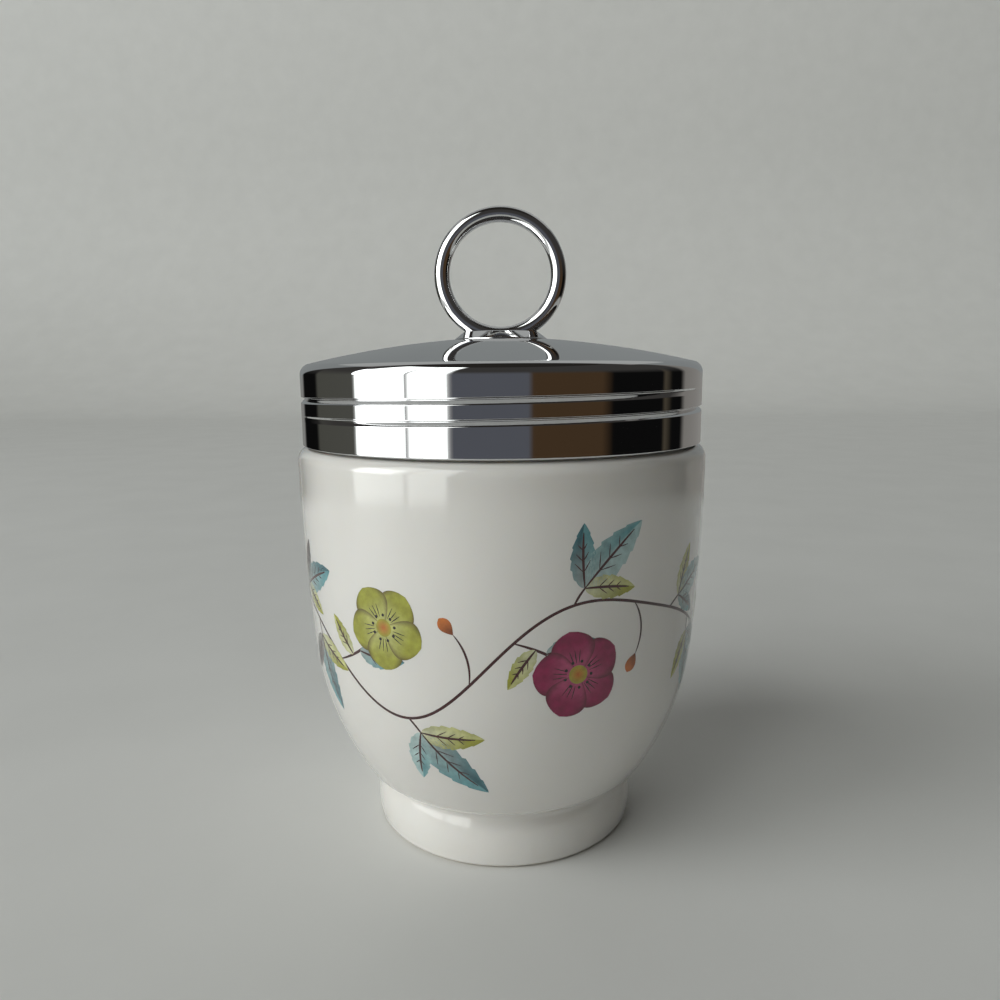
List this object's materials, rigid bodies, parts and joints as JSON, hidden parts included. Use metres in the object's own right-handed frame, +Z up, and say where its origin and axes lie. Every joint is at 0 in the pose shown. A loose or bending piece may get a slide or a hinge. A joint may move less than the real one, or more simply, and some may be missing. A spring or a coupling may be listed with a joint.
{
  "type": "egg coddler",
  "caption": "Footed porcelain cup with a threaded neck, closed by a thin screw-on metal lid with an upright lifting ring.",
  "frame": {"origin": "centre of the foot's standing face, on the table", "axes": "+Z up along the axis of cup and lid; the lifting ring stands in the XZ plane, and the front faces -Y"},
  "size_m": [0.0595, 0.0594, 0.091],
  "materials": {
    "porcelain": "glossy glaze with a printed garland",
    "lid_chrome": "mirror plate on drawn sheet",
    "ring_chrome": "mirror plate",
    "washer_steel": "plain stamped washer"
  },
  "bodies": {
    "cup": {"cup": "porcelain"},
    "lid_carrier": {"backing_washer": "washer_steel"},
    "lid": {"lid_shell": "lid_chrome", "lifting_ring": "ring_chrome", "ring_boss": "ring_chrome"}
  },
  "joints": [
    {"name": "lid_rise", "type": "slide", "parent": "cup", "child": "lid_carrier", "axis": [0, 0, 1], "range_m": [0, 0.01501]},
    {"name": "lid_turn", "type": "hinge", "parent": "lid_carrier", "child": "lid", "pos_m": [0, 0, 0.0576], "axis": [0, 0, 1], "range_deg": [0, 2160]}
  ],
  "couplings": [
    {"joint": "lid_rise", "follows": "lid_turn", "m_per_rad": 0.00039789}
  ]
}
